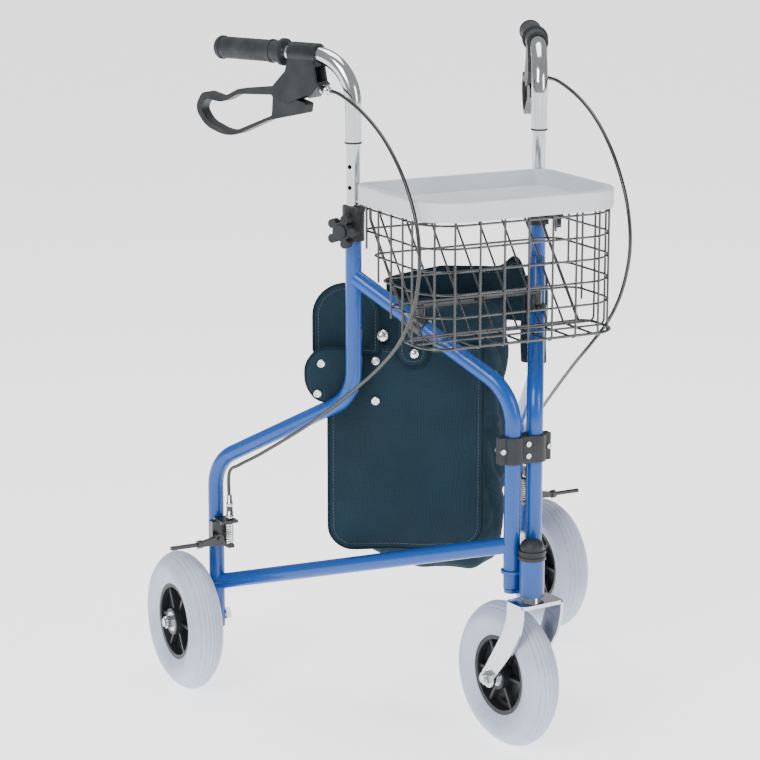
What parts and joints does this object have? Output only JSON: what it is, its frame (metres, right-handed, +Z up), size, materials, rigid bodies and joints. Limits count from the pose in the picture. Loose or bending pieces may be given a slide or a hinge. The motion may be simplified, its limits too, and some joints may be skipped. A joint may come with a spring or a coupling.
{
  "type": "three wheeled walking frame",
  "caption": "Folding three-wheeled walking frame with swivelling front wheel, height-adjustable handles, loop brakes, lift-off wire basket with tray, and a fabric bag",
  "frame": {"origin": "On the floor, midway between the two upright fold axes at the front of the frame.", "axes": "+Z is up, -Y is the front of the frame, +Y points to the user, and X runs across from the left side frame at -X to the right side frame at +X."},
  "size_m": [0.672, 0.6121, 0.9385],
  "materials": {
    "blue_paint": "gloss powder coat",
    "chrome": "bright chrome plate",
    "black_plastic": "fine moulded grain",
    "black_vinyl": "soft ribbed grip",
    "tyre_grey": "non-marking solid rubber",
    "tray_grey": "satin moulded plastic",
    "black_wire": "black plastic-coated wire",
    "zinc_steel": "zinc-plated steel",
    "black_steel": "black painted steel",
    "cable_black": "gloss vinyl cable sheath",
    "bag_fabric": "coated woven nylon"
  },
  "bodies": {
    "stem": {"head_tube": "blue_paint", "head_bushes": "black_plastic", "head_cap": "black_plastic", "fold_pins": "zinc_steel", "clamp_front": "black_plastic", "clamp_rear": "black_plastic", "clamp_screws": "zinc_steel", "bag": "bag_fabric"},
    "caster": {"fork": "chrome", "fork_nut": "chrome", "front_axle": "zinc_steel"},
    "front_wheel": {"front_tyre": "tyre_grey", "front_rim": "black_plastic", "front_bearings": "zinc_steel"},
    "basket_unit": {"basket": "black_wire", "tray": "tray_grey"},
    "left_frame": {"left_upright_tube": "blue_paint", "left_front_tube": "blue_paint", "left_post_plug": "black_plastic", "left_lower_bar": "blue_paint", "left_height_collar": "black_plastic", "left_rear_axle": "zinc_steel", "left_brake_bracket": "black_steel", "left_brake_spring": "chrome", "left_brace_saddle": "black_steel", "left_brake_cable": "cable_black"},
    "left_knob": {"left_star_knob": "black_plastic"},
    "left_handle": {"left_handle_tube": "chrome", "left_stop_ring": "black_vinyl", "left_grip": "black_vinyl", "left_lever_housing": "black_plastic"},
    "left_lever": {"left_brake_lever": "black_plastic"},
    "left_brake": {"left_brake_arm": "black_steel"},
    "left_wheel": {"left_rear_tyre": "tyre_grey", "left_rear_rim": "black_plastic", "left_rear_bearings": "zinc_steel"},
    "left_link": {"left_brace_link": "black_steel"},
    "right_frame": {"right_upright_tube": "blue_paint", "right_front_tube": "blue_paint", "right_post_plug": "black_plastic", "right_lower_bar": "blue_paint", "right_height_collar": "black_plastic", "right_rear_axle": "zinc_steel", "right_brake_bracket": "black_steel", "right_brake_spring": "chrome", "right_brace_saddle": "black_steel", "right_brake_cable": "cable_black"},
    "right_knob": {"right_star_knob": "black_plastic"},
    "right_handle": {"right_handle_tube": "chrome", "right_stop_ring": "black_vinyl", "right_grip": "black_vinyl", "right_lever_housing": "black_plastic"},
    "right_lever": {"right_brake_lever": "black_plastic"},
    "right_brake": {"right_brake_arm": "black_steel"},
    "right_wheel": {"right_rear_tyre": "tyre_grey", "right_rear_rim": "black_plastic", "right_rear_bearings": "zinc_steel"},
    "right_link": {"right_brace_link": "black_steel"}
  },
  "joints": [
    {"name": "caster_swivel", "type": "hinge", "parent": "stem", "child": "caster", "pos_m": [0, -0.025, 0.2], "axis": [0, 0, 1], "continuous": true},
    {"name": "front_wheel_spin", "type": "hinge", "parent": "caster", "child": "front_wheel", "pos_m": [-0.00523, 0.02473, 0.1], "axis": [0.9945, 0.1045, 0], "continuous": true},
    {"name": "basket_lift", "type": "slide", "parent": "stem", "child": "basket_unit", "axis": [0, 0, 1], "range_m": [0, 0.15]},
    {"name": "left_fold", "type": "hinge", "parent": "stem", "child": "left_frame", "pos_m": [-0.0165, 0, 0.3], "axis": [0, 0, -1], "range_deg": [0, 24], "deforming": ["bag"]},
    {"name": "left_knob_turn", "type": "hinge", "parent": "left_frame", "child": "left_knob", "pos_m": [-0.1436, 0.2117, 0.691], "axis": [-0.8573, -0.5147, 0], "range_deg": [0, 720]},
    {"name": "left_height", "type": "slide", "parent": "left_frame", "child": "left_handle", "axis": [0, 0, 1], "range_m": [-0.083, 0.028], "deforming": ["left_brake_cable"]},
    {"name": "left_lever_pull", "type": "hinge", "parent": "left_handle", "child": "left_lever", "pos_m": [-0.18523, 0.29341, 0.8796], "axis": [0.891, 0.454, 0], "range_deg": [-14, 10], "stiffness_Nm_per_rad": 0.8},
    {"name": "left_brake_press", "type": "hinge", "parent": "left_frame", "child": "left_brake", "pos_m": [-0.262, 0.405, 0.224], "axis": [0, -1, 0], "range_deg": [0, 24], "stiffness_Nm_per_rad": 0.5, "deforming": ["left_brake_spring"]},
    {"name": "left_wheel_spin", "type": "hinge", "parent": "left_frame", "child": "left_wheel", "pos_m": [-0.3023, 0.4373, 0.1], "axis": [1, 0, 0], "continuous": true},
    {"name": "left_link_swing", "type": "hinge", "parent": "left_frame", "child": "left_link", "pos_m": [-0.09011, 0.1226, 0.594], "axis": [0, 0, 1], "range_deg": [0, 92.42]},
    {"name": "right_fold", "type": "hinge", "parent": "stem", "child": "right_frame", "pos_m": [0.0165, 0, 0.3], "axis": [0, 0, 1], "range_deg": [0, 24], "deforming": ["bag"]},
    {"name": "right_knob_turn", "type": "hinge", "parent": "right_frame", "child": "right_knob", "pos_m": [0.1436, 0.2117, 0.691], "axis": [0.8573, -0.5147, 0], "range_deg": [0, 720]},
    {"name": "right_height", "type": "slide", "parent": "right_frame", "child": "right_handle", "axis": [0, 0, 1], "range_m": [-0.083, 0.028], "deforming": ["right_brake_cable"]},
    {"name": "right_lever_pull", "type": "hinge", "parent": "right_handle", "child": "right_lever", "pos_m": [0.18523, 0.29341, 0.8796], "axis": [0.891, -0.454, 0], "range_deg": [-14, 10], "stiffness_Nm_per_rad": 0.8},
    {"name": "right_brake_press", "type": "hinge", "parent": "right_frame", "child": "right_brake", "pos_m": [0.262, 0.405, 0.224], "axis": [0, 1, 0], "range_deg": [0, 24], "stiffness_Nm_per_rad": 0.5, "deforming": ["right_brake_spring"]},
    {"name": "right_wheel_spin", "type": "hinge", "parent": "right_frame", "child": "right_wheel", "pos_m": [0.3023, 0.4373, 0.1], "axis": [1, 0, 0], "continuous": true},
    {"name": "right_link_swing", "type": "hinge", "parent": "right_frame", "child": "right_link", "pos_m": [0.09011, 0.1226, 0.594], "axis": [0, 0, -1], "range_deg": [0, 92.42]}
  ],
  "couplings": [
    {"joint": "left_link_swing", "follows": "left_fold", "ratio": 3.8298},
    {"joint": "right_link_swing", "follows": "left_fold", "ratio": 3.8298},
    {"joint": "right_fold", "follows": "left_fold", "ratio": 1}
  ]
}
